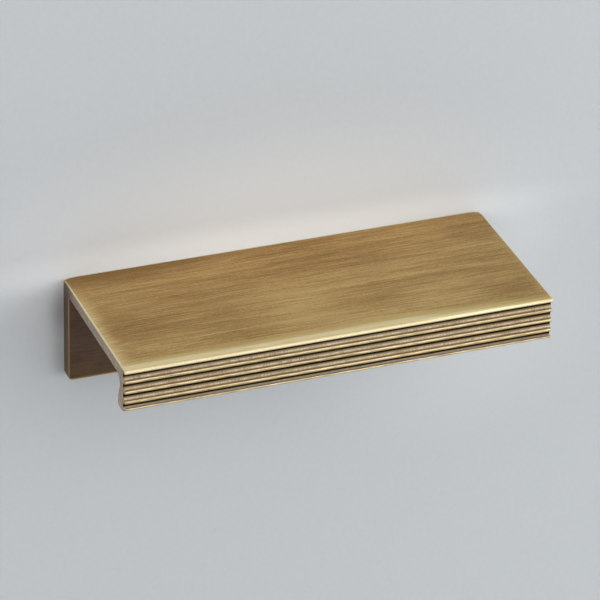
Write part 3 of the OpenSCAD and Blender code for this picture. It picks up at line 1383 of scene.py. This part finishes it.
@dataclass
class TabPull:
    """The pull: one solid piece of brass."""

    sizes: PullSizes = field(default_factory=PullSizes)
    arris_steps: int = 6
    spans: int = 64
    sink_easing: float = 0.2
    # How far the limit between two zones is blurred, in millimetres
    blur: float = 0.10

    def build(self, material: bpy.types.Material) -> bpy.types.Object:
        """Builds the piece and sets it in place of its CAD node.

        Args:
            material: The brass.

        Returns:
            The piece.
        """
        s = self.sizes
        lengths = {
            "Length": s.length,
            "Hole Spacing": s.hole_spacing,
            "Hole Diameter": s.hole_diameter,
            "Sink Diameter": s.sink_diameter,
            "Sink Easing": self.sink_easing,
            "Plate Thickness": s.plate_thick,
            "Back Corner Reach": s.back_corner_reach,
            "Foot Corner Reach": s.foot_corner_reach,
        }
        lengths = {name: length * MM for name, length in lengths.items()}
        counts = {"Arris Steps": self.arris_steps, "Spans": self.spans}
        piece = placed("tab_pull", self._section_mesh())
        modifier = piece.modifiers.new("sweep", "NODES")
        tree = SweepTree(lengths, counts)
        modifier.node_group = tree.tree
        keys = tree.identifiers()
        for name, value in {**lengths, **counts, "Material": material}.items():
            modifier[keys[name]] = value
        graph = bpy.context.evaluated_depsgraph_get()
        piece_mesh = bpy.data.meshes.new_from_object(piece.evaluated_get(graph))
        piece_mesh.name = "tab_pull"
        piece.modifiers.remove(modifier)
        piece.data = piece_mesh
        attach(piece, "root")
        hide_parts("pull")
        return piece

    def _section_mesh(self) -> bpy.types.Mesh:
        """Makes the section's outline as a mesh of edges, with the values that go with it.

        Returns:
            The mesh, in the row's frame.
        """
        points = PullSection(self.sizes).outline()
        count = len(points)
        mesh = bpy.data.meshes.new("pull_section")
        places = [(0.0, -p.place[0] * MM, (self.sizes.hole_drop - p.place[1]) * MM) for p in points]
        mesh.from_pydata(places, [(i, i + 1) for i in range(count - 1)], [])
        walked = [0.0]
        for i in range(1, count):
            walked.append(walked[-1] + math.dist(points[i - 1].place, points[i].place))
        vectors = {"outward": [(0.0, -p.normal[0], -p.normal[1]) for p in points]}
        vectors["back_fall"], vectors["foot_fall"] = self._falls(points)
        for name, values in vectors.items():
            layer = mesh.attributes.new(name, "FLOAT_VECTOR", "POINT")
            layer.data.foreach_set("vector", [part for value in values for part in value])
        numbers = {zone.value: self._blurred(points, walked, zone) for zone in Zone}
        numbers["softness"] = [p.softness * MM for p in points]
        numbers["walked"] = [d * MM for d in walked]
        for name, values in numbers.items():
            mesh.attributes.new(name, "FLOAT", "POINT").data.foreach_set("value", values)
        return mesh

    def _blurred(self, points: list[OutlinePoint], walked: list[float], zone: Zone) -> list[float]:
        """Blurs the limits of a zone along the outline.

        Args:
            points: The outline's points.
            walked: Each point's distance along the outline.
            zone: The zone.

        Returns:
            The zone's share at each point.
        """
        ways = np.array(walked)
        steps = (ways[None, :] - ways[:, None]) / self.blur
        passed = np.vectorize(math.erf)(steps)
        inside = np.array([point.zone is zone for point in points[1:]], float)
        shares = (passed[:, 1:] - passed[:, :-1]) @ inside
        return (shares / (passed[:, -1] - passed[:, 0])).tolist()

    def _falls(self, points: list[OutlinePoint]) -> tuple[list[Triple], list[Triple]]:
        """Says how far the back's corners are rubbed down: along its top edge and at its foot.

        Args:
            points: The outline's points.

        Returns:
            For each point, its shift at the pull's ends, for the top and for the foot.
        """
        s = self.sizes
        top, foot = [], []
        for point in points:
            reach, drop = point.place
            # All of a rounded edge shifts alike, so that nothing folds over at the end faces
            away = max(0.0, math.dist(point.place, (s.edge_radius, s.edge_radius)) - s.edge_radius)
            near_edge = max(0.0, 1 - away / s.back_corner_width)
            shift = near_edge**2 * s.back_corner_fall * MM
            top.append((0.0, -shift / 2, -shift))
            above = max(0.0, s.plate_height - s.edge_radius - drop)
            near_foot = max(0.0, 1 - above / s.foot_corner_width)
            behind = reach <= s.plate_thick + s.inner_fillet
            foot.append((0.0, 0.0, near_foot**2 * s.foot_corner_fall * MM if behind else 0.0))
        return top, foot


@dataclass(frozen=True)
class PhotoCamera:
    """The camera, fitted to the pull's straight edges in the photograph."""

    azimuth: float = -21.035
    elevation: float = 29.636
    roll: float = -1.248
    distance: float = 1043.35
    right: float = -5.806
    down: float = -12.737
    lens: float = 277.47
    target_height: float = 17.5
    clip: Pair = (0.05, 20.0)

    def build(self) -> bpy.types.Object:
        """Makes the camera and gives it to the scene.

        Returns:
            The camera.
        """
        back = towards(self.azimuth, self.elevation)
        level = Vector((0.0, 0.0, 1.0)).cross(back).normalized()
        up = back.cross(level)
        roll = math.radians(self.roll)
        right = math.cos(roll) * level - math.sin(roll) * up
        up = back.cross(right)
        eye = back * self.distance - right * self.right + up * self.down
        eye += Vector((0.0, 0.0, self.target_height))
        data = bpy.data.cameras.new("photo_camera")
        data.lens = self.lens
        data.clip_start, data.clip_end = self.clip
        camera = placed("photo_camera", data)
        turned = Matrix((right, up, back)).transposed().to_4x4()
        camera.matrix_world = Matrix.Translation(eye * MM) @ turned
        bpy.context.scene.camera = camera
        return camera


@dataclass(frozen=True)
class Lamp:
    """A soft square lamp that faces the pull, with its size and distance in metres."""

    name: str
    direction: Direction
    share: float
    size: float
    distance: float
    tint: Colour = (1.0, 1.0, 1.0)

    def build(self) -> bpy.types.Object:
        """Makes the lamp.

        Returns:
            The lamp.
        """
        place = towards(*self.direction.value)
        data = bpy.data.lights.new(self.name, "AREA")
        data.shape = "SQUARE"
        data.size = self.size
        # A share of 1 lights a white face that is turned to the lamp to white
        data.energy = self.share * (math.pi * self.distance) ** 2
        data.color = self.tint
        lamp = placed(self.name, data)
        lamp.location = place * self.distance
        lamp.rotation_mode = "QUATERNION"
        lamp.rotation_quaternion = place.to_track_quat("Z", "Y")
        return lamp


@dataclass
class Studio:
    """The wall that the pull is fixed to, a floor well below, lamps and a pale surround."""

    # The wall stands this far behind the pull, in millimetres; its side and the floor are in metres
    wall_gap: float = 0.15
    wall_side: float = 3.0
    wall_shine: float = 0.095
    floor_drop: float = 0.3
    floor: PaintedWall = PaintedWall((0.54, 0.53, 0.50), (0.53, 0.52, 0.49))
    surround: Colour = (0.525, 0.51, 0.52)
    # Painted light on the wall round the pull
    pale_patches: tuple[Patch, ...] = (
        Patch((-4.0, 0.0, 18.5), (92.0, 50.0, 8.0), 0.45),
        Patch((-4.0, 0.0, 23.0), (92.0, 50.0, 32.0), 0.46),
        Patch((44.0, 0.0, -10.0), (50.0, 50.0, 40.0), 0.34),
        Patch((58.0, 0.0, 8.0), (18.0, 50.0, 14.0), 0.22),
    )
    # Painted shadow on the wall beside the back plate
    dim_patches: tuple[Patch, ...] = (
        Patch((-50.0, 0.0, 9.0), (4.8, 50.0, 8.5), 0.55),
        Patch((-50.0, 0.0, -1.0), (4.2, 50.0, 11.0), 0.20),
    )
    lamps: tuple[Lamp, ...] = (
        Lamp("key_lamp", Direction.RIGHT, 0.45, 1.2, 1.3, (0.95, 1.0, 1.025)),
        Lamp("front_lamp", Direction.FRONT, 0.05, 0.4, 1.3),
        Lamp("side_lamp", Direction.LEFT, 0.07, 0.6, 1.3),
        Lamp("top_lamp", Direction.ABOVE, 0.10, 0.6, 1.2, (1.0, 0.98, 0.97)),
        Lamp("sky_lamp", Direction.SKY, 0.20, 0.9, 1.4),
        Lamp("rear_lamp", Direction.BEHIND, 0.20, 0.8, 1.4),
    )

    def build(self, groups: ShaderGroups) -> None:
        """Makes the stage, the lamps and the world.

        Args:
            groups: The shared shader effects.
        """
        half, gap, low = self.wall_side / 2, self.wall_gap * MM, -self.floor_drop
        sides = ((-half, -half), (half, -half), (half, half), (-half, half))
        paint = PaintedWall(
            pale_patches=self.pale_patches, dim_patches=self.dim_patches, shine=self.wall_shine
        )
        upright = [(x, gap, z) for x, z in sides]
        wall = self._plane("wall", upright, paint.build(groups, "wall_paint"))
        wall.visible_shadow = False
        level = [(x, y, low) for x, y in sides]
        self._plane("floor", level, self.floor.build(groups, "floor_paint"))
        for lamp in self.lamps:
            lamp.build()
        world = bpy.data.worlds.new("surround")
        world.use_nodes = True
        background = world.node_tree.nodes["Background"]
        background.inputs["Color"].default_value = (*self.surround, 1.0)
        bpy.context.scene.world = world
        bpy.context.scene.view_settings.view_transform = "Standard"

    @staticmethod
    def _plane(name: str, corners: list[Triple], material: bpy.types.Material) -> bpy.types.Object:
        """Makes a flat face of the stage.

        Args:
            name: The object's name.
            corners: Its corners, so that its front faces the pull.
            material: Its material.

        Returns:
            The object.
        """
        mesh = bpy.data.meshes.new(name)
        mesh.from_pydata(corners, [], [tuple(range(len(corners)))])
        mesh.materials.append(material)
        plane = placed(name, mesh)
        return plane


def main() -> None:
    """Builds the scene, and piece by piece."""
    logging.basicConfig(level=logging.INFO, format="%(message)s")
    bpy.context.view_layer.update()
    groups = ShaderGroups()
    PhotoCamera().build()
    pull = TabPull()
    piece = pull.build(AgedBrass().build(groups, pull.sizes))
    mesh = piece.data
    log.info("%s: %d vertices, %d faces", piece.name, len(mesh.vertices), len(mesh.polygons))
    Studio().build(groups)
    log.info("studio: wall, floor, lamps and surround")


if __name__ == "__main__":
    main()
